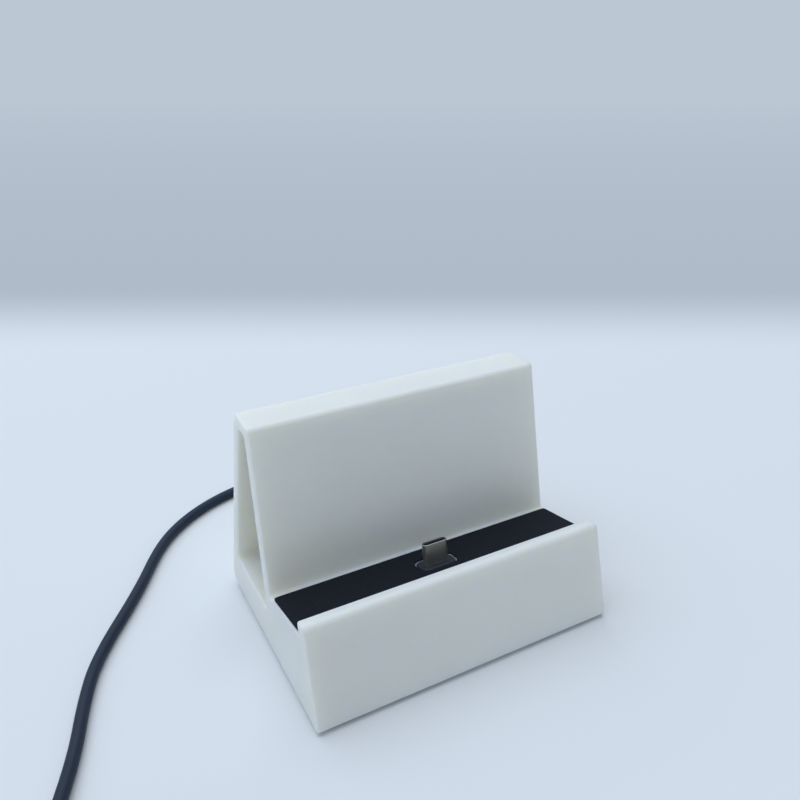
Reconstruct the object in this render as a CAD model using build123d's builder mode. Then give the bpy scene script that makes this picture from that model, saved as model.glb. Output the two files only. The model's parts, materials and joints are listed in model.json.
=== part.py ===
from build123d import *
import os
from math import acos, atan2, cos, hypot, pi, radians, sin, sqrt, tan

os.makedirs("parts", exist_ok=True)

# Printed stand: overall sizes in millimetres. The feet lift it off the table, which is at Z = 0
width = 98.0
depth = 71.0
height = 68.6

# Printed stand: how far its front, and its slot with the back rest, lean from the vertical, in degrees
front_lean = 14.9
seat_lean = 12.0

# Slot: where the back rest has its foot, and the floor and lip in front of it
rest_setback = 34.1
rest_foot_height = 19.2
slot_depth = 23.7
lip_rise = 4.3

# A-frame: its thickness over the top, its two walls, the web at its top and the floor of its window
top_depth = 12.2
rest_wall = 4.0
rear_wall = 4.2
top_web = 3.8
window_floor = 12.2

# Rounds of the stand's side profile, and of the edges of its two sides
front_foot_round = 0.8
lip_front_round = 1.7
lip_back_round = 0.8
rest_foot_round = 0.8
top_front_round = 1.4
top_rear_round = 1.8
rear_foot_round = 4.0
window_round = 1.8
side_edge_round = 0.6

# Rubber feet, let into the underside
foot_diameter = 9.0
foot_stand = 1.0
foot_inset = 0.6
foot_margin = 10.0
foot_edge_chamfer = 0.4

# Liner on the slot floor
pad_thickness = 0.6
pad_rear_gap = 2.0
pad_front_gap = 0.5
pad_side_gap = 0.6
pad_corner_round = 1.2
pad_edge_round = 0.2
pad_plug_gap = 0.5

# Upright plug in the middle of the slot: its place in front of the back rest, and its moulded body
plug_setback = 12.0
seat_floor = 3.5
neck_width = 11.6
neck_thickness = 6.4
neck_round = 2.4
neck_edge_round = 0.4
neck_sink = 0.2
block_width = 14.0
block_thickness = 10.0
block_round = 2.5
pocket_fit = 0.3

# Upright plug: its metal shell, insulator and contacts
shell_width = 8.25
shell_thickness = 2.4
shell_wall = 0.2
shell_reach = 6.65
shell_seat = 3.0
shell_rim_round = 0.12
mouth_width = 6.8
mouth_height = 0.95
mouth_depth = 5.2
insulator_inset = 0.3
contact_count = 12
contact_pitch = 0.5
contact_width = 0.25
contact_thickness = 0.1
contact_length = 4.0

# Strain relief inside the base, and the plate that holds the plug up from below
relief_diameter = 7.0
relief_tip_diameter = 4.8
relief_length = 12.0
clamp_width = 34.0
clamp_margin = 4.0
clamp_thickness = 2.5
clamp_round = 3.0
clamp_fit = 0.2
screw_diameter = 2.5
screw_head_diameter = 4.8
screw_head_angle = 90.0
screw_length = 8.0
screw_fit = 0.05
screw_recess_length = 2.6
screw_recess_width = 0.6
screw_recess_depth = 0.7

# Lead
cable_diameter = 3.6
channel_fit = 0.2
bend_share = 0.45

# Put-away coil of the lead, beside the stand: two layers of turns and the strap round them
coil_centre = (-101.0, -71.5)
coil_outer_turn = 25.6
coil_inner_turn = 16.4
coil_layers = 2
coil_slack = 0.1
coil_entry_angle = 160.0
coil_leave_angle = 270.0
coil_stub = 15.0
coil_lead_in = 16.0
coil_chamfer = 1.0
tie_thickness = 0.8
tie_width = 9.0
tie_angle = 20.0

# Plug at the lead's far end
far_relief_length = 10.0
far_groove_count = 4
far_groove_width = 1.0
far_groove_depth = 0.5
far_body_width = 15.7
far_body_thickness = 8.0
far_body_length = 22.0
far_body_round = 2.4
far_edge_round = 0.8
far_shell_width = 12.0
far_shell_thickness = 4.5
far_shell_wall = 0.3
far_shell_round = 0.5
far_shell_reach = 12.0
far_shell_seat = 4.0
far_rim_round = 0.15
far_window = 2.3
far_window_spacing = 5.2
far_window_setback = 6.0
far_tongue_thickness = 1.9
far_tongue_setback = 0.5
far_contact_count = 4
far_contact_pitch = 2.3
far_contact_width = 1.1
far_contact_thickness = 0.15
far_contact_length = 8.0
far_contact_setback = 1.2

# Heights and leans that the pieces share
underside = foot_stand
top = underside + height
front_tan = tan(radians(front_lean))
seat_tan = tan(radians(seat_lean))
seat_cos = cos(radians(seat_lean))
clamp_top = underside + clamp_thickness
cable_height = clamp_top + relief_diameter / 2

# Side profile, as points (Y, Z): the depth is measured over the rounded feet, inside the sharp corners
front_tuck = front_foot_round * (front_tan + 1 / cos(radians(front_lean)) - 1)
front_corner = Vector(-depth / 2 - front_tuck, underside)
seat_up = Vector(sin(radians(seat_lean)), seat_cos)
seat_back = Vector(seat_cos, -sin(radians(seat_lean)))
rest_foot = Vector(rest_setback - depth / 2, underside + rest_foot_height)
slot_front = rest_foot - seat_back * slot_depth
lip_back = slot_front + seat_up * lip_rise
lip_reach = lip_back.X - front_corner.X - (lip_back.Y - underside) * front_tan
lip_front = lip_back - seat_back * (lip_reach / (seat_back.X - seat_back.Y * front_tan))


def rest_face(z):
    """Y of the back rest's front face at height z."""
    return rest_foot.X + (z - rest_foot.Y) * seat_tan


# The rear wall runs from the back of the A-frame's top down to the rounded rear foot, which it touches
rest_top = Vector(rest_face(top), top)
rear_top = Vector(rest_top.X + top_depth, top)
rear_reach = depth / 2 - rear_foot_round - rear_top.X
rear_drop = height - rear_foot_round
rear_lean = acos(-rear_foot_round / hypot(rear_reach, rear_drop)) - atan2(rear_drop, rear_reach)
rear_tan = tan(rear_lean)
rear_cos = cos(rear_lean)
rear_corner = Vector(rear_top.X + height * rear_tan, underside)


def rear_face(z):
    """Y of the rear wall's outer face at height z."""
    return rear_corner.X - (z - underside) * rear_tan


def window_corner(z, wall, face, side, lean_cos):
    """Corner of the window at height z, one wall's thickness behind a leaning face."""
    return Vector(face(z) + side * wall / lean_cos, z)


profile_corners = [
    (front_corner, front_foot_round),
    (lip_front, lip_front_round),
    (lip_back, lip_back_round),
    (slot_front, 0),
    (rest_foot, rest_foot_round),
    (rest_top, top_front_round),
    (rear_top, top_rear_round),
    (rear_corner, rear_foot_round),
]
window_low = underside + window_floor
window_high = top - top_web
window_corners = [
    window_corner(window_low, rest_wall, rest_face, 1, seat_cos),
    window_corner(window_high, rest_wall, rest_face, 1, seat_cos),
    window_corner(window_high, rear_wall, rear_face, -1, rear_cos),
    window_corner(window_low, rear_wall, rear_face, -1, rear_cos),
]

# Planes of the slot floor, and of the plug that stands in the middle of it
seat_normal = (0, seat_up.X, seat_up.Y)
seat_plane = Plane(origin=(0, rest_foot.X, rest_foot.Y), x_dir=(1, 0, 0), z_dir=seat_normal)
plug_foot = rest_foot - seat_back * plug_setback
plug_plane = Plane(origin=(0, plug_foot.X, plug_foot.Y), x_dir=(1, 0, 0), z_dir=seat_normal)
neck_top = pad_thickness - neck_sink
pocket_length = (plug_foot.Y - underside) / seat_cos + block_thickness


def plug_axis(z):
    """Y of the upright plug's axis at height z."""
    return plug_foot.X - (plug_foot.Y - z) * seat_tan


# The lead runs level from the plug's block to the rear wall
block_half = block_thickness / 2 / seat_cos
relief_start = plug_axis(cable_height)
relief_end = relief_start + block_half + relief_length
lead_exit = rear_face(cable_height)

# The clamp reaches from in front of the plug's block to the end of the strain relief
clamp_front = plug_axis(clamp_top) - block_half - clamp_margin
clamp_length = relief_end - clamp_front
clamp_middle = (clamp_front + relief_end) / 2
screw_x = (block_width + clamp_width) / 4
screw_places = [(-screw_x, clamp_middle), (screw_x, clamp_middle)]

# Feet, by name and place
foot_x = width / 2 - foot_margin
foot_y = depth / 2 - foot_margin
foot_places = {
    "foot_front_left": (-foot_x, -foot_y),
    "foot_front_right": (foot_x, -foot_y),
    "foot_rear_left": (-foot_x, foot_y),
    "foot_rear_right": (foot_x, foot_y),
}


# Printed stand, one piece: base, lip, slot, back rest, rear wall and the window between them
with BuildPart() as dock_body:
    with BuildSketch(Plane.YZ) as profile:
        with BuildLine():
            Polyline(*[corner for corner, _ in profile_corners], close=True)
        make_face()
        for corner, radius in profile_corners:
            if radius:
                fillet(profile.vertices().sort_by_distance(corner)[0], radius)
    extrude(amount=width / 2, both=True)
    with BuildSketch(Plane.YZ):
        with BuildLine():
            FilletPolyline(*window_corners, radius=window_round, close=True)
        make_face()
    extrude(amount=width / 2, both=True, mode=Mode.SUBTRACT)
    fillet(dock_body.faces().filter_by(Axis.X).edges(), side_edge_round)
    # Opening for the plug's neck, and the pocket for its block, open at the underside
    with BuildSketch(plug_plane):
        RectangleRounded(neck_width + 2 * pocket_fit, neck_thickness + 2 * pocket_fit, neck_round)
    extrude(amount=-seat_floor, mode=Mode.SUBTRACT)
    with BuildSketch(plug_plane.offset(-seat_floor)):
        RectangleRounded(block_width + 2 * pocket_fit, block_thickness + 2 * pocket_fit, block_round)
    extrude(amount=-pocket_length, mode=Mode.SUBTRACT)
    # Arched channels for the strain relief and the lead, open at the underside
    for start, end, diameter in (
        (relief_start, relief_end + channel_fit, relief_diameter),
        (relief_end, rear_corner.X, cable_diameter),
    ):
        with BuildSketch(Plane.XZ.offset(-start)):
            with Locations((0, cable_height)):
                Circle(diameter / 2 + channel_fit)
                Rectangle(diameter + 2 * channel_fit, cable_height, align=(Align.CENTER, Align.MAX))
        extrude(amount=start - end, mode=Mode.SUBTRACT)
    # Recess for the clamp plate, pilot holes for its screws, and seats for the feet
    with BuildSketch(Plane.XY.offset(underside)):
        with Locations((0, clamp_middle)):
            RectangleRounded(clamp_width + 2 * clamp_fit, clamp_length + 2 * clamp_fit, clamp_round)
    extrude(amount=clamp_thickness, mode=Mode.SUBTRACT)
    with BuildSketch(Plane.XY.offset(underside)):
        with Locations(*screw_places):
            Circle(screw_diameter / 2 + screw_fit)
    extrude(amount=screw_length + screw_fit, mode=Mode.SUBTRACT)
    with BuildSketch(Plane.XY.offset(underside)):
        with Locations(*foot_places.values()):
            Circle(foot_diameter / 2)
    extrude(amount=foot_inset, mode=Mode.SUBTRACT)
dock_body.part.label = "dock_body"
export_step(dock_body.part, "parts/dock_body.step")

# Liner of the slot floor, cut out round the plug
with BuildPart() as slot_pad:
    with BuildSketch(seat_plane):
        with Locations((0, -pad_rear_gap)):
            RectangleRounded(
                width - 2 * pad_side_gap,
                slot_depth - pad_rear_gap - pad_front_gap,
                pad_corner_round,
                align=(Align.CENTER, Align.MAX),
            )
    extrude(amount=pad_thickness)
    fillet(slot_pad.faces().sort_by(Axis(seat_plane.origin, seat_normal))[-1].edges(), pad_edge_round)
    with BuildSketch(plug_plane):
        RectangleRounded(neck_width + 2 * pad_plug_gap, neck_thickness + 2 * pad_plug_gap, neck_round)
    extrude(amount=pad_thickness, mode=Mode.SUBTRACT)
slot_pad.part.label = "slot_pad"
export_step(slot_pad.part, "parts/slot_pad.step")

# Moulded body of the upright plug: neck, block under the slot floor, and level strain relief
with BuildPart() as dock_plug_body:
    with BuildSketch(plug_plane.offset(-seat_floor)):
        RectangleRounded(neck_width, neck_thickness, neck_round)
    extrude(amount=seat_floor + neck_top)
    neck_rim = dock_plug_body.faces().sort_by(Axis(plug_plane.origin, seat_normal))[-1]
    fillet(neck_rim.edges(), neck_edge_round)
    with BuildSketch(plug_plane.offset(-seat_floor)):
        RectangleRounded(block_width, block_thickness, block_round)
    extrude(amount=-pocket_length)
    split(bisect_by=Plane.XY.offset(clamp_top), keep=Keep.TOP)
    with BuildSketch(Plane.XZ.offset(-relief_start)):
        with Locations((0, cable_height)):
            Circle(relief_diameter / 2)
    with BuildSketch(Plane.XZ.offset(-relief_end)):
        with Locations((0, cable_height)):
            Circle(relief_tip_diameter / 2)
    loft()
    with BuildSketch(plug_plane.offset(neck_top)):
        SlotOverall(shell_width, shell_thickness)
    extrude(amount=-shell_seat, mode=Mode.SUBTRACT)
dock_plug_body.part.label = "dock_plug_body"
export_step(dock_plug_body.part, "parts/dock_plug_body.step")

# Metal shell of the upright plug
with BuildPart() as dock_plug_shell:
    with BuildSketch(plug_plane.offset(neck_top - shell_seat)):
        SlotOverall(shell_width, shell_thickness)
        SlotOverall(shell_width - 2 * shell_wall, shell_thickness - 2 * shell_wall, mode=Mode.SUBTRACT)
    extrude(amount=shell_seat + shell_reach)
    shell_rim = dock_plug_shell.faces().sort_by(Axis(plug_plane.origin, seat_normal))[-1]
    fillet(shell_rim.outer_wire().edges(), shell_rim_round)
dock_plug_shell.part.label = "dock_plug_shell"
export_step(dock_plug_shell.part, "parts/dock_plug_shell.step")

# Insulator in the shell, with the mouth for the socket's tongue
insulator_top = neck_top + shell_reach - insulator_inset
with BuildPart() as dock_plug_insulator:
    with BuildSketch(plug_plane.offset(neck_top - shell_seat)):
        SlotOverall(shell_width - 2 * shell_wall, shell_thickness - 2 * shell_wall)
    extrude(amount=shell_seat + shell_reach - insulator_inset)
    with BuildSketch(plug_plane.offset(insulator_top)):
        Rectangle(mouth_width, mouth_height)
    extrude(amount=-mouth_depth, mode=Mode.SUBTRACT)
dock_plug_insulator.part.label = "dock_plug_insulator"
export_step(dock_plug_insulator.part, "parts/dock_plug_insulator.step")

# Contacts on the two walls of the mouth
with BuildPart() as dock_plug_contacts:
    with BuildSketch(plug_plane.offset(insulator_top - mouth_depth)):
        with GridLocations(contact_pitch, mouth_height - contact_thickness, contact_count, 2):
            Rectangle(contact_width, contact_thickness)
    extrude(amount=contact_length)
dock_plug_contacts.part.label = "dock_plug_contacts"
export_step(dock_plug_contacts.part, "parts/dock_plug_contacts.step")

# Clamp plate under the plug
with BuildPart() as plug_clamp:
    with BuildSketch(Plane.XY.offset(underside)):
        with Locations((0, clamp_middle)):
            RectangleRounded(clamp_width, clamp_length, clamp_round)
    extrude(amount=clamp_thickness)
    with Locations(*[Plane((x, y, underside), z_dir=(0, 0, -1)) for x, y in screw_places]):
        CounterSinkHole(
            screw_diameter / 2 + screw_fit,
            screw_head_diameter / 2 + screw_fit,
            clamp_thickness,
            screw_head_angle,
        )
plug_clamp.part.label = "plug_clamp"
export_step(plug_clamp.part, "parts/plug_clamp.step")

# Countersunk screws of the clamp plate
screw_head_height = (screw_head_diameter - screw_diameter) / 2 / tan(radians(screw_head_angle / 2))
with BuildPart() as clamp_screws:
    with Locations(*[(x, y, underside) for x, y in screw_places]):
        Cone(
            screw_head_diameter / 2,
            screw_diameter / 2,
            screw_head_height,
            align=(Align.CENTER, Align.CENTER, Align.MIN),
        )
        Cylinder(screw_diameter / 2, screw_length, align=(Align.CENTER, Align.CENTER, Align.MIN))
    with BuildSketch(Plane.XY.offset(underside)):
        with Locations(*screw_places):
            Rectangle(screw_recess_length, screw_recess_width)
            Rectangle(screw_recess_width, screw_recess_length)
    extrude(amount=screw_recess_depth, mode=Mode.SUBTRACT)
clamp_screws.part.label = "clamp_screws"
export_step(clamp_screws.part, "parts/clamp_screws.step")

# Feet
for foot_name, foot_place in foot_places.items():
    with BuildPart() as foot:
        with BuildSketch():
            with Locations(foot_place):
                Circle(foot_diameter / 2)
        extrude(amount=foot_stand + foot_inset)
        chamfer(foot.edges().group_by(Axis.Z)[0], foot_edge_chamfer)
    foot.part.label = foot_name
    export_step(foot.part, f"parts/{foot_name}.step")

# Stretch of the lead in the base's channel
with BuildPart() as lead_inner:
    with BuildSketch(Plane.XZ.offset(-relief_end)):
        with Locations((0, cable_height)):
            Circle(cable_diameter / 2)
    extrude(amount=relief_end - lead_exit)
lead_inner.part.label = "lead_inner"
export_step(lead_inner.part, "parts/lead_inner.step")


def ring_point(angle, radius, z):
    """Point over the coil's ring at an angle, in degrees, and a radius."""
    x, y = coil_centre
    return Vector(x + radius * cos(radians(angle)), y + radius * sin(radians(angle)), z)


def turn_heading(angle):
    """Direction in which the coil's turns run at an angle, in degrees."""
    return Vector(-sin(radians(angle)), cos(radians(angle)), 0)


# The coil rests on its strap, and the lead's two free stretches meet its stubs end to end
coil_low = tie_thickness
coil_height = coil_layers * cable_diameter + 2 * coil_slack
lower_turns = coil_low + coil_slack + cable_diameter / 2
upper_turns = coil_low + coil_height - coil_slack - cable_diameter / 2
entry_heading = turn_heading(coil_entry_angle)
leave_heading = turn_heading(coil_leave_angle)
coil_entry = ring_point(coil_entry_angle, coil_outer_turn, lower_turns) - entry_heading * coil_stub
coil_leave = ring_point(coil_leave_angle, coil_outer_turn, upper_turns) + leave_heading * coil_stub

# Lead on the table, out of the rear wall and round the stand's left side to the coil
lead_on_table = cable_diameter / 2
lead_route = [
    Vector(0, lead_exit, cable_height),
    Vector(0, 45.6, cable_height),
    Vector(-0.8, 58.1, 2.7),
    Vector(-8.0, 72.5, lead_on_table),
    Vector(-22.5, 86.8, lead_on_table),
    Vector(-41.8, 82.0, lead_on_table),
    Vector(-56.5, 73.6, lead_on_table),
    Vector(-67.7, 62.3, lead_on_table),
    Vector(-78.9, 42.2, lead_on_table),
    Vector(-95.7, 18.3, lead_on_table),
    Vector(-101.5, 3.3, lead_on_table),
    Vector(-106.2, -13.6, lead_on_table),
    coil_entry - entry_heading * coil_lead_in,
    coil_entry,
]

# Lead from the coil down to the far plug
far_plug_height = far_body_thickness / 2
tail_route = [
    coil_leave,
    Vector(-78.5, coil_leave.Y, upper_turns),
    Vector(-69.5, coil_leave.Y, far_plug_height),
    Vector(-62.0, coil_leave.Y, far_plug_height),
]


def corner_radii(route):
    """Radius of the arc at each inner point of a route, as large as its two runs allow."""
    radii = []
    for before, corner, after in zip(route, route[1:], route[2:]):
        run_in = corner - before
        run_out = after - corner
        half_turn = radians(run_in.get_angle(run_out)) / 2
        radii.append(bend_share * min(run_in.length, run_out.length) / tan(half_turn))
    return radii


for lead_name, route in (("lead_tube", lead_route), ("lead_tail", tail_route)):
    radii = corner_radii(route)
    with BuildPart() as lead:
        with BuildLine():
            path = FilletPolyline(*route, radius=radii)
        with BuildSketch(Plane(path @ 0, z_dir=path % 0)):
            Circle(cable_diameter / 2)
        sweep()
    lead_volume = pi / 4 * cable_diameter**2 * path.length
    print(lead_name, "length", round(path.length, 1), "radii", [round(r, 1) for r in radii])
    print(lead_name, "volume", round(lead.part.volume, 1), "section times length", round(lead_volume, 1))
    lead.part.label = lead_name
    export_step(lead.part, f"parts/{lead_name}.step")


def coil_section(grow):
    """Sketches the section of the coil's ring on the plane in use, grown all round."""
    ring_width = coil_outer_turn - coil_inner_turn + cable_diameter + 2 * coil_slack
    ring_middle = (coil_outer_turn + coil_inner_turn) / 2
    with Locations((ring_middle, coil_low + coil_height / 2)):
        Rectangle(ring_width + 2 * grow, coil_height + 2 * grow)
    chamfer(vertices(), coil_chamfer + grow * (2 - sqrt(2)))


coil_axis = Axis((*coil_centre, 0), (0, 0, 1))

# Outer shape of the coil, with the ends of its first and last turn
with BuildPart() as lead_coil:
    with BuildSketch(Plane((*coil_centre, 0), x_dir=(1, 0, 0), z_dir=(0, -1, 0))):
        coil_section(0)
    revolve(axis=coil_axis)
    for stub_end, heading in ((coil_entry, entry_heading), (coil_leave, -leave_heading)):
        with BuildSketch(Plane(stub_end, z_dir=heading)):
            Circle(cable_diameter / 2)
        extrude(amount=coil_stub)
lead_coil.part.label = "lead_coil"
export_step(lead_coil.part, "parts/lead_coil.step")

# Strap round the coil's turns
tie_arc = tie_width / coil_outer_turn * 180 / pi
tie_direction = (cos(radians(tie_angle)), sin(radians(tie_angle)), 0)
tie_plane = Plane((*coil_centre, 0), x_dir=tie_direction, z_dir=(tie_direction[1], -tie_direction[0], 0))
with BuildPart() as lead_tie:
    with BuildSketch(tie_plane):
        coil_section(tie_thickness)
    revolve(axis=coil_axis, revolution_arc=tie_arc)
    with BuildSketch(tie_plane):
        coil_section(0)
    revolve(axis=coil_axis, revolution_arc=tie_arc, mode=Mode.SUBTRACT)
lead_tie.part.label = "lead_tie"
export_step(lead_tie.part, "parts/lead_tie.step")

# Far plug, lying on the table along the lead's last run
far_plane = Plane(tail_route[-1], x_dir=(0, 1, 0), z_dir=(1, 0, 0))
far_back = far_plane.offset(far_relief_length)
far_front = far_back.offset(far_body_length)
far_shell_back = far_front.offset(-far_shell_seat)
far_inner_width = far_shell_width - 2 * far_shell_wall
far_inner_thickness = far_shell_thickness - 2 * far_shell_wall

# Its moulded body, with the grooved strain relief behind
relief_taper = (relief_diameter - relief_tip_diameter) / 2 / (far_relief_length + far_edge_round)
with BuildPart() as far_plug_body:
    with BuildSketch(far_back):
        RectangleRounded(far_body_width, far_body_thickness, far_body_round)
    extrude(amount=far_body_length)
    fillet(far_plug_body.faces().filter_by(Axis.X).edges(), far_edge_round)
    with BuildSketch(far_plane):
        Circle(relief_tip_diameter / 2)
    with BuildSketch(far_back.offset(far_edge_round)):
        Circle(relief_diameter / 2)
    loft()
    for groove in range(far_groove_count):
        groove_place = far_relief_length * (groove + 0.5) / far_groove_count
        local_radius = relief_tip_diameter / 2 + relief_taper * groove_place
        with BuildSketch(far_plane.offset(groove_place)):
            Circle(relief_diameter)
            Circle(local_radius - far_groove_depth, mode=Mode.SUBTRACT)
        extrude(amount=far_groove_width / 2, both=True, mode=Mode.SUBTRACT)
    with BuildSketch(far_shell_back):
        RectangleRounded(far_shell_width, far_shell_thickness, far_shell_round)
    extrude(amount=far_shell_seat, mode=Mode.SUBTRACT)
far_plug_body.part.label = "far_plug_body"
export_step(far_plug_body.part, "parts/far_plug_body.step")

# Its metal shell, with the two latch windows through the upper and lower wall
with BuildPart() as far_plug_shell:
    with BuildSketch(far_shell_back):
        RectangleRounded(far_shell_width, far_shell_thickness, far_shell_round)
        RectangleRounded(
            far_inner_width,
            far_inner_thickness,
            far_shell_round - far_shell_wall,
            mode=Mode.SUBTRACT,
        )
    extrude(amount=far_shell_seat + far_shell_reach)
    far_rim = far_plug_shell.faces().sort_by(Axis.X)[-1]
    fillet(far_rim.outer_wire().edges(), far_rim_round)
    with BuildSketch(Plane(far_front.offset(far_window_setback).origin, x_dir=(1, 0, 0), z_dir=(0, 0, 1))):
        with GridLocations(far_window, far_window_spacing, 1, 2):
            Rectangle(far_window, far_window)
    extrude(amount=far_shell_thickness, both=True, mode=Mode.SUBTRACT)
far_plug_shell.part.label = "far_plug_shell"
export_step(far_plug_shell.part, "parts/far_plug_shell.step")

# Its insulator: a block in the seat, and the tongue along the shell's lower wall
tongue_drop = (far_inner_thickness - far_tongue_thickness) / 2
with BuildPart() as far_plug_insulator:
    with BuildSketch(far_shell_back):
        RectangleRounded(far_inner_width, far_inner_thickness, far_shell_round - far_shell_wall)
    extrude(amount=far_shell_seat)
    with BuildSketch(far_front):
        with Locations((0, -tongue_drop)):
            Rectangle(far_inner_width - 2 * far_shell_wall, far_tongue_thickness)
    extrude(amount=far_shell_reach - far_tongue_setback)
far_plug_insulator.part.label = "far_plug_insulator"
export_step(far_plug_insulator.part, "parts/far_plug_insulator.step")

# Its contacts, on the tongue
contact_height = far_tongue_thickness - far_inner_thickness / 2 + far_contact_thickness / 2
far_contact_plane = far_front.offset(far_shell_reach - far_contact_setback - far_contact_length)
with BuildPart() as far_plug_contacts:
    with BuildSketch(far_contact_plane):
        with Locations((0, contact_height)):
            with GridLocations(far_contact_pitch, far_contact_thickness, far_contact_count, 1):
                Rectangle(far_contact_width, far_contact_thickness)
    extrude(amount=far_contact_length)
far_plug_contacts.part.label = "far_plug_contacts"
export_step(far_plug_contacts.part, "parts/far_plug_contacts.step")
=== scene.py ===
# Handheld console dock: camera, lead, soft pieces, finishes, floor and light
import json
from math import cos, pi, radians, sin, sqrt

import bpy
from mathutils import Matrix, Vector, noise


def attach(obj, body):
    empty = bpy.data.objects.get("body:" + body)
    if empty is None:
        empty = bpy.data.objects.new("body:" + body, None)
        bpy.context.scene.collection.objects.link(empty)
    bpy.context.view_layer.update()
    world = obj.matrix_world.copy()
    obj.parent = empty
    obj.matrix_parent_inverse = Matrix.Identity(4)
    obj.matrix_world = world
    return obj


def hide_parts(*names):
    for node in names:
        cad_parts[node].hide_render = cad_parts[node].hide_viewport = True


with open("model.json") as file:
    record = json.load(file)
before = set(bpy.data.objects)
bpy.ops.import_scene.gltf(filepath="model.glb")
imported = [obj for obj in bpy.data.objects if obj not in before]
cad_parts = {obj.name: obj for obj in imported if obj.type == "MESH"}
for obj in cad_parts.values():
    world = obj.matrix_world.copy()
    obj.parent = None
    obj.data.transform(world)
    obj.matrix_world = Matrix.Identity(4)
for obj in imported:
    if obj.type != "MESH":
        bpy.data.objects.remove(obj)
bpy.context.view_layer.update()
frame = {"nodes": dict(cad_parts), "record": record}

scene = bpy.context.scene
nodes = frame["nodes"]
mounts = {mount["name"]: mount for mount in frame["record"]["mounts"]}

# Camera, at the photograph's place
camera_place = (-0.10504, -0.18114, 0.17679)
camera_pitch = 21.25
camera_yaw = 27.61
camera_lens = 35.81
camera_sensor = 36.0
camera_shift = (0.018, -0.095)
camera_near = 0.01

camera_data = bpy.data.cameras.new("camera")
camera_data.sensor_width = camera_sensor
camera_data.lens = camera_lens
camera_data.shift_x, camera_data.shift_y = camera_shift
camera_data.clip_start = camera_near
camera = bpy.data.objects.new("camera", camera_data)
camera.location = camera_place
camera.rotation_euler = (radians(90 - camera_pitch), 0, radians(-camera_yaw))
scene.collection.objects.link(camera)
scene.camera = camera


def link_piece(name, data):
    """Adds a piece that rides on the dock."""
    piece = bpy.data.objects.new(name, data)
    scene.collection.objects.link(piece)
    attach(piece, "root")
    return piece


def ease(share):
    """Smooth step from 0 to 1."""
    return share * share * (3 - 2 * share)


# Lead: its route on the table, in metres, as the solids have it
lead_diameter = 0.0036
lead_exit_height = 0.007
lead_over_table = 0.0027
lead_on_table = lead_diameter / 2
lead_exit = (0.0, 0.035154, lead_exit_height)
lead_route = [
    lead_exit,
    (0.0, 0.0456, lead_exit_height),
    (-0.0008, 0.0581, lead_over_table),
    (-0.0080, 0.0725, lead_on_table),
    (-0.0225, 0.0868, lead_on_table),
    (-0.0418, 0.0820, lead_on_table),
    (-0.0565, 0.0736, lead_on_table),
    (-0.0677, 0.0623, lead_on_table),
    (-0.0789, 0.0422, lead_on_table),
    (-0.0957, 0.0183, lead_on_table),
    (-0.1015, 0.0033, lead_on_table),
    (-0.1062, -0.0136, lead_on_table),
    (-0.114454, -0.033614, lead_over_table),
    (-0.119926, -0.048649, lead_over_table),
]

# Put-away coil: inwards on the lower layer, up, and outwards on the upper one
coil_centre = (-0.101, -0.0715)
coil_outer_turn = 0.0256
coil_inner_turn = 0.0164
coil_lower = lead_over_table
coil_upper = 0.0063
coil_start_angle = 160.0
coil_layer_turns = 2.5528
coil_climb_turns = 0.2
coil_points_per_turn = 36

# Tail of the lead, down to the far plug
tail_line = -0.0971
tail_low = 0.004
tail_route = [
    (-0.0860, tail_line, coil_upper),
    (-0.0785, tail_line, coil_upper),
    (-0.0695, tail_line, tail_low),
    (-0.0620, tail_line, tail_low),
]


def coil_point(turns):
    """Point of the coil after a number of turns."""
    layer_width = coil_outer_turn - coil_inner_turn
    inwards = min(turns / coil_layer_turns, 1)
    climb = min(max((turns - coil_layer_turns) / coil_climb_turns, 0), 1)
    outwards = max((turns - coil_layer_turns - coil_climb_turns) / coil_layer_turns, 0)
    radius = coil_outer_turn - layer_width * (inwards - outwards)
    angle = radians(coil_start_angle) + 2 * pi * turns
    return (
        coil_centre[0] + radius * cos(angle),
        coil_centre[1] + radius * sin(angle),
        coil_lower + (coil_upper - coil_lower) * ease(climb),
    )


coil_turns = 2 * coil_layer_turns + coil_climb_turns
coil_steps = round(coil_turns * coil_points_per_turn)
coil_route = [coil_point(coil_turns * step / coil_steps) for step in range(coil_steps + 1)]

# A point's radius is in metres here, so that the curve's box is that of its surface
lead_curve = bpy.data.curves.new("charging_lead", "CURVE")
lead_curve.dimensions = "3D"
lead_curve.bevel_depth = 1.0
lead_curve.bevel_resolution = 6
lead_curve.resolution_u = 8
lead_curve.use_fill_caps = True
control_points = lead_route + coil_route + tail_route
spline = lead_curve.splines.new("NURBS")
spline.points.add(len(control_points) - 1)
for point, place in zip(spline.points, control_points):
    point.co = (*place, 1.0)
    point.radius = lead_diameter / 2
spline.order_u = 3
spline.use_endpoint_u = True
lead = link_piece("charging_lead", lead_curve)
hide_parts("lead_tube", "lead_coil", "lead_tail")

# Slot liner: the pad's solid, remeshed level while stretched upwards, and then worked as foam,
# pressed on top and die-cut at its sides
liner_cell = 0.0005
liner_stretch = 4.0
liner_dent = 0.00008
liner_dent_half = 0.0075
liner_ripple = 0.00003
liner_ripple_scale = 160.0
liner_waist = 0.00006


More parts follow.
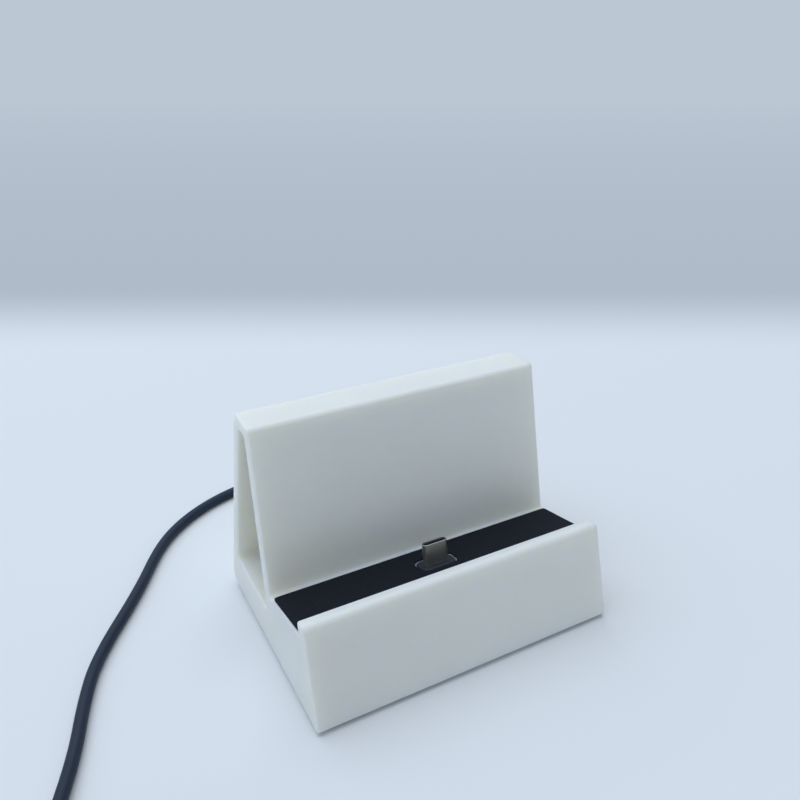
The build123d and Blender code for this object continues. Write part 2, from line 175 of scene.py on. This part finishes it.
def foam_liner():
    """Mesh of the liner: a shallow dent where the console stands, and cut sides that draw in."""
    seat_up = Vector(mounts["console_plug"]["axis"])
    level = seat_up.rotation_difference(Vector((0, 0, 1))).to_matrix().to_4x4()
    solid_mesh = nodes["slot_pad"].data.copy()
    solid_mesh.transform(Matrix.Diagonal((1, 1, liner_stretch, 1)) @ level)
    solid = bpy.data.objects.new("liner_solid", solid_mesh)
    scene.collection.objects.link(solid)
    remesh = solid.modifiers.new("cells", "REMESH")
    remesh.mode = "VOXEL"
    remesh.voxel_size = liner_cell
    remesh.use_smooth_shade = True
    shaped = solid.evaluated_get(bpy.context.evaluated_depsgraph_get())
    mesh = bpy.data.meshes.new_from_object(shaped)
    bpy.data.objects.remove(solid)
    bpy.data.meshes.remove(solid_mesh)
    mesh.transform(Matrix.Diagonal((1, 1, 1 / liner_stretch, 1)))

    heights = [vertex.co.z for vertex in mesh.vertices]
    low, high = min(heights), max(heights)
    depths = [vertex.co.y for vertex in mesh.vertices]
    middle = (min(depths) + max(depths)) / 2
    for vertex in mesh.vertices:
        share = (vertex.co.z - low) / (high - low)
        across = min(abs(vertex.co.y - middle) / liner_dent_half, 1)
        ripple = 0.5 + 0.5 * noise.noise(vertex.co * liner_ripple_scale)
        press = liner_dent * ease(1 - across) + liner_ripple * ripple
        side = Vector((vertex.normal.x, vertex.normal.y, 0))
        vertex.co -= side * liner_waist * sin(pi * share)
        vertex.co.z -= press * ease(share)
    mesh.transform(level.inverted())
    return mesh


liner = link_piece("slot_liner", foam_liner())
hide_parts("slot_pad")

# Strap round the coil: once round the turns, and then over its own start with a rounded tab
strap_angle = 20.0
strap_arc = 20.14
strap_thickness = 0.0004
strap_section_middle = (0.021, 0.0045)
strap_section_half = (0.0065, 0.0037)
strap_section_round = 0.0017
strap_overlap = 0.014
strap_ramp = 0.003
strap_tab_round = 0.003
strap_step = 0.0002
strap_columns = 20
strap_rib = 0.00003
strap_rib_pitch = 0.0009
strap_edge_power = 8
strap_tab_narrowing = 0.45


def strap_section(run):
    """Place and outward direction on the outline of the turns, after a run from its top's inner end."""
    half_width, half_height = strap_section_half
    arc = pi / 2 * strap_section_round
    for side in range(4):
        reach, half_run = (half_height, half_width) if side % 2 == 0 else (half_width, half_height)
        half_run -= strap_section_round
        heading = pi / 2 * (1 - side)
        outward = Vector((cos(heading), sin(heading)))
        onward = Vector((outward.y, -outward.x))
        if run <= 2 * half_run:
            return outward * reach + onward * (run - half_run), outward
        run -= 2 * half_run
        if run <= arc:
            turned = heading - run / strap_section_round
            direction = Vector((cos(turned), sin(turned)))
            centre = outward * (reach - strap_section_round) + onward * half_run
            return centre + direction * strap_section_round, direction
        run -= arc


def coil_strap():
    """Mesh of the strap, ring by ring along its length."""
    half_width, half_height = strap_section_half
    round_once = 4 * (half_width + half_height) - (8 - 2 * pi) * strap_section_round
    length = round_once + strap_overlap
    steps = round(length / strap_step)
    shares = [2 * column / strap_columns - 1 for column in range(strap_columns + 1)]
    loop = [(share, 1) for share in shares] + [(share, -1) for share in shares[-2:0:-1]]
    points, faces = [], []
    for step in range(steps + 1):
        run = length * step / steps
        place, outward = strap_section(run % round_once)
        climb = ease(min(max((run - round_once + strap_ramp) / strap_ramp, 0), 1))
        lift = strap_thickness * (0.5 + climb)
        to_end = min(max((run - length) / strap_tab_round + 1, 0), 1)
        narrowing = 1 - strap_tab_narrowing * (1 - sqrt(1 - to_end * to_end))
        rib = strap_rib * (0.5 + 0.5 * sin(2 * pi * run / strap_rib_pitch))
        for share, face in loop:
            thickness = strap_thickness * sqrt(1 - abs(share) ** strap_edge_power) / 2 - rib
            spot = place + outward * (lift + face * max(thickness, 0))
            angle = radians(strap_angle + strap_arc * (0.5 + 0.5 * share * narrowing))
            radius = strap_section_middle[0] + spot.x
            points.append(
                (
                    coil_centre[0] + radius * cos(angle),
                    coil_centre[1] + radius * sin(angle),
                    strap_section_middle[1] + spot.y,
                )
            )
    count = len(loop)
    for step in range(steps):
        for corner in range(count):
            after = (corner + 1) % count
            here, there = step * count, (step + 1) * count
            faces.append((here + corner, there + corner, there + after, here + after))
    faces.append(tuple(range(count)))
    faces.append(tuple(reversed(range(steps * count, (steps + 1) * count))))
    mesh = bpy.data.meshes.new("coil_strap")
    mesh.from_pydata(points, [], faces)
    mesh.shade_smooth()
    return mesh


strap = link_piece("coil_strap", coil_strap())
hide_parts("lead_tie")


# Colours of the finishes, each as a darker and a paler one, or as one metal
print_dark, print_pale = (0.820, 0.820, 0.775), (0.850, 0.850, 0.810)
liner_black, dust_grey = (0.003, 0.005, 0.011), (0.05, 0.06, 0.07)
jacket_dark, jacket_pale = (0.005, 0.015, 0.034), (0.008, 0.019, 0.040)
moulding_dark, moulding_pale = (0.006, 0.010, 0.017), (0.011, 0.016, 0.025)
insulator_dark, insulator_pale = (0.010, 0.012, 0.015), (0.017, 0.020, 0.024)
rubber_dark, rubber_pale = (0.018, 0.018, 0.019), (0.030, 0.030, 0.031)
weave_dark, weave_pale = (0.010, 0.010, 0.011), (0.030, 0.030, 0.032)
nickel = (0.56, 0.55, 0.53)
gold = (0.86, 0.66, 0.30)
zinc = (0.60, 0.60, 0.61)


# Materials
def add_node(tree, kind, inputs=None, **settings):
    """Adds a shader node. An input is a value or another node's output socket."""
    node = tree.nodes.new(kind)
    for name, value in settings.items():
        setattr(node, name, value)
    for name, value in (inputs or {}).items():
        socket = node.inputs[name]
        if isinstance(value, bpy.types.NodeSocket):
            tree.links.new(value, socket)
        else:
            socket.default_value = value
    return node


def new_material(name, fixed=None):
    """A material, as (material, tree, shader, object coordinates), with the shader's fixed inputs set."""
    material = bpy.data.materials.new(name)
    material.use_nodes = True
    tree = material.node_tree
    shader = tree.nodes["Principled BSDF"]
    for socket, value in (fixed or {}).items():
        shader.inputs[socket].default_value = value
    place = add_node(tree, "ShaderNodeTexCoord").outputs["Object"]
    return material, tree, shader, place


def spread(tree, value, low, high):
    """Maps a value from 0..1 to low..high."""
    inputs = {"Value": value, "To Min": low, "To Max": high}
    return add_node(tree, "ShaderNodeMapRange", inputs).outputs["Result"]


def noise_value(tree, place, scale, detail=2.0, stretch=(1, 1, 1), roughness=0.5):
    """A noise from 0 to 1, with a scale per metre, stretched by a factor along each axis."""
    mapped = add_node(tree, "ShaderNodeMapping", {"Vector": place, "Scale": stretch}).outputs["Vector"]
    inputs = {"Vector": mapped, "Scale": scale, "Detail": detail, "Roughness": roughness}
    return add_node(tree, "ShaderNodeTexNoise", inputs).outputs["Fac"]


def cell_distance(tree, place, scale):
    """Distance to the nearest of many scattered points, with a scale per metre."""
    inputs = {"Vector": place, "Scale": scale}
    return add_node(tree, "ShaderNodeTexVoronoi", inputs).outputs["Distance"]


def two_colours(tree, share, first, second):
    """A colour between two, by a share from 0 to 1."""
    ramp = add_node(tree, "ShaderNodeValToRGB", {"Fac": share})
    ramp.color_ramp.elements[0].color = (*first, 1)
    ramp.color_ramp.elements[1].color = (*second, 1)
    return ramp.outputs["Color"]


def bump(tree, height, distance, strength=1.0, normal=None):
    """A bump from a height of 0 to 1, as deep as a distance in metres."""
    inputs = {"Height": height, "Distance": distance, "Strength": strength}
    if normal is not None:
        inputs["Normal"] = normal
    return add_node(tree, "ShaderNodeBump", inputs).outputs["Normal"]


def printed_plastic():
    """Ivory print: fine layers across the width, faint mottling, satin, and a little light let through."""
    fixed = {
        "Subsurface Weight": 0.8,
        "Subsurface Radius": (1.0, 0.86, 0.55),
        "Subsurface Scale": 0.0065,
    }
    material, tree, shader, place = new_material("printed_plastic", fixed)
    mottle = noise_value(tree, place, scale=90, detail=4)
    colour = two_colours(tree, mottle, print_dark, print_pale)
    tree.links.new(colour, shader.inputs["Base Color"])
    layers = noise_value(tree, place, scale=1.0, detail=1, stretch=(2600, 20, 20))
    bands = noise_value(tree, place, scale=1.0, detail=2, stretch=(420, 8, 8))
    grain = noise_value(tree, place, scale=2500, detail=2)
    tree.links.new(spread(tree, bands, low=0.42, high=0.58), shader.inputs["Roughness"])
    normal = bump(tree, layers, distance=0.00003, strength=0.35)
    normal = bump(tree, bands, distance=0.00004, strength=0.2, normal=normal)
    normal = bump(tree, grain, distance=0.00002, strength=0.25, normal=normal)
    tree.links.new(normal, shader.inputs["Normal"])
    return material


def liner_foam():
    """Black closed-cell liner with fine cells and a few small pale specks of dust."""
    material, tree, shader, place = new_material(
        "liner_foam", {"Roughness": 0.85, "Specular IOR Level": 0.25}
    )
    speck_edge, speck_core = 0.10, 0.05
    cells = cell_distance(tree, place, scale=2200.0)
    specks = cell_distance(tree, place, scale=620.0)
    dust = add_node(
        tree, "ShaderNodeMapRange", {"Value": specks, "From Min": speck_edge, "From Max": speck_core}
    ).outputs["Result"]
    colour = two_colours(tree, dust, liner_black, dust_grey)
    tree.links.new(colour, shader.inputs["Base Color"])
    tree.links.new(bump(tree, cells, distance=0.00015, strength=0.7), shader.inputs["Normal"])
    return material


def cable_jacket():
    """Smooth blue-black jacket, nearly matte, with a fine grain."""
    material, tree, shader, place = new_material("cable_jacket", {"Specular IOR Level": 0.33})
    cloud = noise_value(tree, place, scale=160, detail=3)
    colour = two_colours(tree, cloud, jacket_dark, jacket_pale)
    tree.links.new(colour, shader.inputs["Base Color"])
    tree.links.new(spread(tree, cloud, low=0.52, high=0.62), shader.inputs["Roughness"])
    grain = noise_value(tree, place, scale=3500, detail=2)
    tree.links.new(bump(tree, grain, distance=0.00002, strength=0.35), shader.inputs["Normal"])
    return material


def moulding(name, dark, pale, roughness):
    """Black moulded plastic with a fine spark texture."""
    swing = 0.06
    material, tree, shader, place = new_material(name)
    cloud = noise_value(tree, place, scale=220, detail=3)
    tree.links.new(two_colours(tree, cloud, dark, pale), shader.inputs["Base Color"])
    tree.links.new(spread(tree, cloud, roughness - swing, roughness + swing), shader.inputs["Roughness"])
    spark = noise_value(tree, place, scale=4200, detail=2, roughness=0.7)
    tree.links.new(bump(tree, spark, distance=0.00005, strength=0.6), shader.inputs["Normal"])
    return material


def drawn_metal(name, colour, roughness, stretch):
    """Bare metal with fine drawing marks along one way."""
    material, tree, shader, place = new_material(name, {"Metallic": 1.0})
    marks = noise_value(tree, place, scale=1.0, detail=2, stretch=stretch)
    worn_share, smoother, rougher = 0.9, 0.04, 0.05
    worn = tuple(worn_share * value for value in colour)
    tree.links.new(two_colours(tree, marks, worn, colour), shader.inputs["Base Color"])
    tree.links.new(spread(tree, marks, roughness - smoother, roughness + rougher), shader.inputs["Roughness"])
    tree.links.new(bump(tree, marks, distance=0.000004, strength=0.15), shader.inputs["Normal"])
    return material


def foot_rubber():
    """Soft black rubber, matte, with a fine tooth."""
    material, tree, shader, place = new_material("foot_rubber", {"Roughness": 0.78})
    cloud = noise_value(tree, place, scale=500, detail=3)
    colour = two_colours(tree, cloud, rubber_dark, rubber_pale)
    tree.links.new(colour, shader.inputs["Base Color"])
    tooth = noise_value(tree, place, scale=5000, detail=1)
    tree.links.new(bump(tree, tooth, distance=0.00004, strength=0.5), shader.inputs["Normal"])
    return material


def woven_strap():
    """Black woven strap."""
    material, tree, shader, place = new_material("tie_strap", {"Roughness": 0.9, "Sheen Weight": 0.3})
    weave = add_node(
        tree,
        "ShaderNodeTexWave",
        {"Vector": place, "Scale": 450.0, "Distortion": 1.5, "Detail": 2.0, "Detail Scale": 3.0},
        bands_direction="DIAGONAL",
    ).outputs["Fac"]
    colour = two_colours(tree, weave, weave_dark, weave_pale)
    tree.links.new(colour, shader.inputs["Base Color"])
    tree.links.new(bump(tree, weave, distance=0.0001, strength=0.6), shader.inputs["Normal"])
    return material


jacket = cable_jacket()
plug_black = moulding("plug_moulding", moulding_dark, moulding_pale, roughness=0.55)
insulator_black = moulding("plug_insulator", insulator_dark, insulator_pale, roughness=0.42)
shell_roughness = 0.34
finishes = {
    printed_plastic(): ("dock_body", "plug_clamp"),
    jacket: ("lead_inner",),
    plug_black: ("dock_plug_body", "far_plug_body"),
    insulator_black: ("dock_plug_insulator", "far_plug_insulator"),
    drawn_metal("plug_shell", nickel, shell_roughness, stretch=(6000, 6000, 300)): ("dock_plug_shell",),
    drawn_metal("far_plug_shell", nickel, shell_roughness, stretch=(300, 6000, 6000)): ("far_plug_shell",),
    drawn_metal("contact_metal", gold, roughness=0.25, stretch=(3000, 3000, 3000)): (
        "dock_plug_contacts",
        "far_plug_contacts",
    ),
    drawn_metal("screw_steel", zinc, roughness=0.32, stretch=(5000, 5000, 600)): ("clamp_screws",),
    foot_rubber(): ("foot_front_left", "foot_front_right", "foot_rear_left", "foot_rear_right"),
}
for material, names in finishes.items():
    for name in names:
        nodes[name].data.materials.clear()
        nodes[name].data.materials.append(material)
lead_curve.materials.append(jacket)
for piece, material in ((liner, liner_foam()), (strap, woven_strap())):
    piece.data.materials.clear()
    piece.data.materials.append(material)

# Floor: pale paper near the dock, and further off the greyer sweep behind it, whose grey is painted shade of
# an upright backdrop, darker near the bend
floor_half = 6.0
sweep_start = 0.20
sweep_end = 0.315
sweep_near = 0.35
sweep_far = 1.6
sweep_heading = (sin(radians(camera_yaw)), cos(radians(camera_yaw)), 0)
paper_colour = (0.822, 0.834, 0.848)
sweep_near_painted_shade = (0.429, 0.497, 0.584)
sweep_far_painted_shade = (0.503, 0.571, 0.658)
fibre_shade = 0.995

floor_mesh = bpy.data.meshes.new("floor")
floor_corners = [
    (-floor_half, -floor_half, 0),
    (floor_half, -floor_half, 0),
    (floor_half, floor_half, 0),
    (-floor_half, floor_half, 0),
]
floor_mesh.from_pydata(floor_corners, [], [(0, 1, 2, 3)])
floor = bpy.data.objects.new("floor", floor_mesh)
scene.collection.objects.link(floor)


def seen_directly(tree):
    """1 for rays of the camera, of reflections and through glass, and 0 for light."""
    rays = add_node(tree, "ShaderNodeLightPath").outputs
    first = add_node(
        tree, "ShaderNodeMath", {0: rays["Is Camera Ray"], 1: rays["Is Glossy Ray"]}, operation="MAXIMUM"
    ).outputs["Value"]
    return add_node(
        tree, "ShaderNodeMath", {0: first, 1: rays["Is Transmission Ray"]}, operation="MAXIMUM"
    ).outputs["Value"]


paper, tree, shader, place = new_material("paper", {"Roughness": 0.9, "Specular IOR Level": 0.1})
fibres = noise_value(tree, place, scale=700, detail=3)
fibre_dark = tuple(fibre_shade * value for value in paper_colour)
tree.links.new(two_colours(tree, fibres, fibre_dark, paper_colour), shader.inputs["Base Color"])
along = add_node(
    tree, "ShaderNodeVectorMath", {0: place, 1: sweep_heading}, operation="DOT_PRODUCT"
).outputs["Value"]
far = add_node(
    tree,
    "ShaderNodeMapRange",
    {"Value": along, "From Min": sweep_start, "From Max": sweep_end},
    interpolation_type="SMOOTHSTEP",
).outputs["Result"]
distance = add_node(
    tree, "ShaderNodeMapRange", {"Value": along, "From Min": sweep_near, "From Max": sweep_far}
).outputs["Result"]
# Painted shade: the backdrop's colour, darker near the bend and paler further off, shown as emission to
# direct and reflected rays
sweep_painted_shade = two_colours(tree, distance, sweep_near_painted_shade, sweep_far_painted_shade)
share = add_node(
    tree, "ShaderNodeMath", {0: far, 1: seen_directly(tree)}, operation="MULTIPLY"
).outputs["Value"]
backdrop = add_node(tree, "ShaderNodeEmission", {"Color": sweep_painted_shade}).outputs["Emission"]
mixed = add_node(
    tree, "ShaderNodeMixShader", {0: share, 1: shader.outputs["BSDF"], 2: backdrop}
).outputs["Shader"]
tree.links.new(mixed, tree.nodes["Material Output"].inputs["Surface"])
floor_mesh.materials.append(paper)

# Light: a pale dome, brighter overhead, in front and to the bluer left, and one large soft lamp above
dome_low = 0.38
dome_high = 0.43
dome_left = 0.22
dome_front = 0.065
light_colour = (0.885, 0.975, 1.08)
left_colour = (0.835, 0.975, 1.14)
left_colour_start = 0.3
left_colour_end = -0.7
lamp_direction = Vector((-0.06, 0.36, 0.93)).normalized()
lamp_distance = 2.2
lamp_size = 3.4
lamp_power = 40.0

world = bpy.data.worlds.new("world")
world.use_nodes = True
scene.world = world
tree = world.node_tree
background = tree.nodes["Background"]
direction = add_node(
    tree, "ShaderNodeSeparateXYZ", {"Vector": add_node(tree, "ShaderNodeTexCoord").outputs["Generated"]}
).outputs
overhead = add_node(
    tree, "ShaderNodeMapRange", {"Value": direction["Z"], "To Min": dome_low, "To Max": dome_high}
).outputs["Result"]
leftward = add_node(
    tree, "ShaderNodeMath", {0: direction["X"], 1: -dome_left, 2: overhead}, operation="MULTIPLY_ADD"
).outputs["Value"]
dome = add_node(
    tree, "ShaderNodeMath", {0: direction["Y"], 1: -dome_front, 2: leftward}, operation="MULTIPLY_ADD"
).outputs["Value"]
leftness = add_node(
    tree,
    "ShaderNodeMapRange",
    {"Value": direction["X"], "From Min": left_colour_start, "From Max": left_colour_end},
).outputs["Result"]
tree.links.new(two_colours(tree, leftness, light_colour, left_colour), background.inputs["Color"])
tree.links.new(dome, background.inputs["Strength"])
# Painted shade of the backdrop, seen directly above the horizon
behind = add_node(tree, "ShaderNodeBackground", {"Color": (*sweep_far_painted_shade, 1), "Strength": 1.0})
seen = add_node(
    tree,
    "ShaderNodeMixShader",
    {0: seen_directly(tree), 1: background.outputs["Background"], 2: behind.outputs["Background"]},
)
tree.links.new(seen.outputs["Shader"], tree.nodes["World Output"].inputs["Surface"])

lamp_data = bpy.data.lights.new("soft_lamp", "AREA")
lamp_data.shape = "DISK"
lamp_data.size = lamp_size
lamp_data.energy = lamp_power
lamp_data.color = light_colour
lamp = bpy.data.objects.new("soft_lamp", lamp_data)
lamp.location = lamp_direction * lamp_distance
lamp.rotation_euler = lamp_direction.to_track_quat("Z", "Y").to_euler()
scene.collection.objects.link(lamp)

scene.view_settings.view_transform = "Standard"
